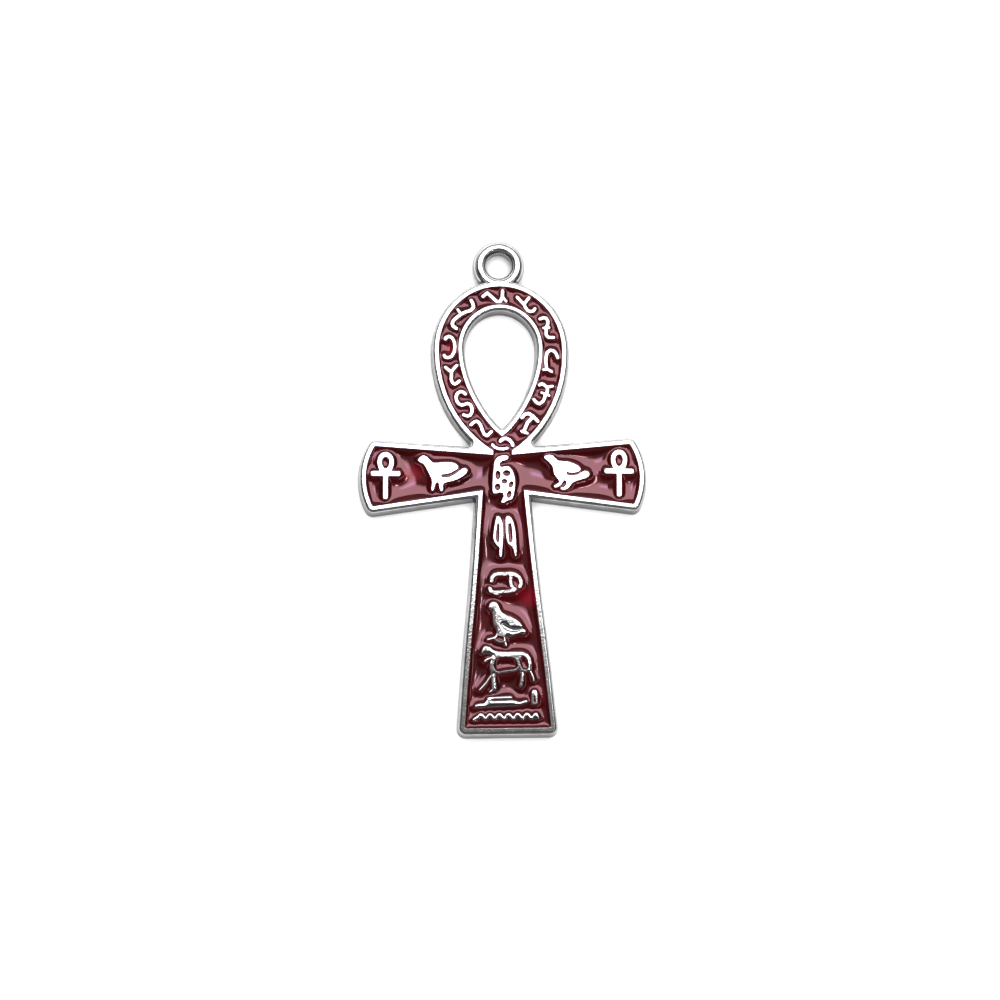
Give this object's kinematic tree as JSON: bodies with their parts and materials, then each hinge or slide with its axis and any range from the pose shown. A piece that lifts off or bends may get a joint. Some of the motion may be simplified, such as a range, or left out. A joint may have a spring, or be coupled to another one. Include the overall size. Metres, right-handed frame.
{
  "type": "ankh pendant",
  "caption": "Cast metal ankh pendant with a hanging ring, a teardrop loop, and raised traditional figures standing in dark red enamel between raised rims.",
  "frame": {"origin": "middle of the pendant's length and of its width, on its flat back", "axes": "+X across the arms, +Y towards the hanging ring, +Z out of the enamelled face, as it lies on its back"},
  "size_m": [0.03, 0.0524, 0.0019],
  "materials": {
    "silver_metal": "bright cast metal, lightly mottled on the walls and on the figures' flanks",
    "red_enamel": "clear glossy, dark red"
  },
  "bodies": {
    "root": {"casting": "silver_metal", "enamel_field": "red_enamel", "enamel_spots": "red_enamel"}
  },
  "joints": []
}
